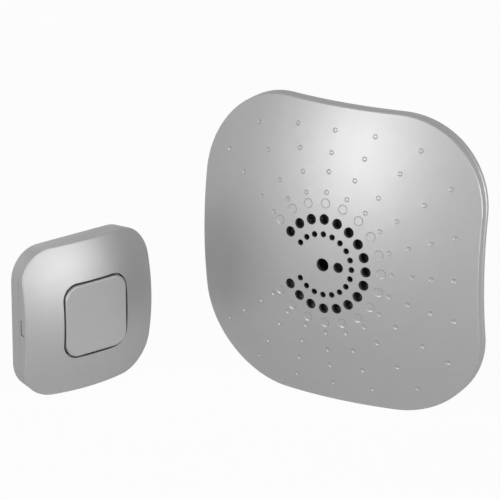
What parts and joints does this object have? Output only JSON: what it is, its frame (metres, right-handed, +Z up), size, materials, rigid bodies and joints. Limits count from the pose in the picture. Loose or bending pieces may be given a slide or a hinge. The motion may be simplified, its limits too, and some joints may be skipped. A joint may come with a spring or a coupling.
{
  "type": "wireless doorbell",
  "caption": "Wireless doorbell set: a domed rounded-square wall chime with a radial speaker grille and a smaller square bell push with a pressable pad.",
  "frame": {"origin": "middle of the chime's flat back, on the wall plane", "axes": "+X to the right seen from the front, +Y into the wall, +Z up; the chime's domed front faces -Y"},
  "size_m": [0.1995, 0.095, 0.14],
  "materials": {
    "silver_paint": "satin silver paint with a fine flake",
    "pressed_steel": "plated",
    "ferrite": "matte",
    "cone_paper": "matte black",
    "board_laminate": "green solder mask",
    "black_moulding": "matte black",
    "capacitor_sleeve": "dark sleeve",
    "module_board": "green solder mask",
    "cell_case": "plain steel jacket",
    "contact_metal": "nickel plated",
    "seal_rubber": "matte",
    "lead_sleeve": "dark flexible sleeve"
  },
  "bodies": {
    "cases": {"antenna_wire": "pressed_steel", "board_screws": "pressed_steel", "case_screws": "pressed_steel", "cell_leads": "lead_sleeve", "cell_plates": "contact_metal", "cell_springs": "contact_metal", "chime_board": "board_laminate", "chime_capacitor": "capacitor_sleeve", "chime_front_cover": "silver_paint", "chime_rear_housing": "silver_paint", "coin_cell": "cell_case", "coin_cell_clip": "contact_metal", "crystal_can": "pressed_steel", "lower_cell": "cell_case", "melody_chip": "black_moulding", "melody_switch": "black_moulding", "push_back_plate": "silver_paint", "push_board": "board_laminate", "push_front_cover": "silver_paint", "push_seal": "seal_rubber", "push_switch": "black_moulding", "receiver_module": "module_board", "speaker_basket": "pressed_steel", "speaker_cone": "cone_paper", "speaker_leads": "lead_sleeve", "speaker_magnet": "ferrite", "speaker_terminal": "board_laminate", "speaker_yoke": "pressed_steel", "transmitter_chip": "black_moulding", "upper_cell": "cell_case", "volume_switch": "black_moulding"},
    "push_pad": {"push_pad": "silver_paint", "push_switch_plunger": "black_moulding"},
    "melody_button": {"melody_button": "black_moulding"},
    "volume_knob": {"volume_knob": "black_moulding"},
    "battery_door": {"battery_door": "silver_paint"}
  },
  "joints": [
    {"name": "push_pad_press", "type": "slide", "parent": "cases", "child": "push_pad", "axis": [-0.9367, 0.3502, 0], "range_m": [0, 0.0008], "stiffness_N_per_m": 2500},
    {"name": "melody_button_press", "type": "slide", "parent": "cases", "child": "melody_button", "axis": [0, -1, 0], "range_m": [0, 0.0006], "stiffness_N_per_m": 2500},
    {"name": "volume_slide", "type": "slide", "parent": "cases", "child": "volume_knob", "axis": [1, 0, 0], "range_m": [-0.002, 0.002]},
    {"name": "battery_door_slide", "type": "slide", "parent": "cases", "child": "battery_door", "axis": [0, 0, -1], "range_m": [0, 0.033]}
  ]
}
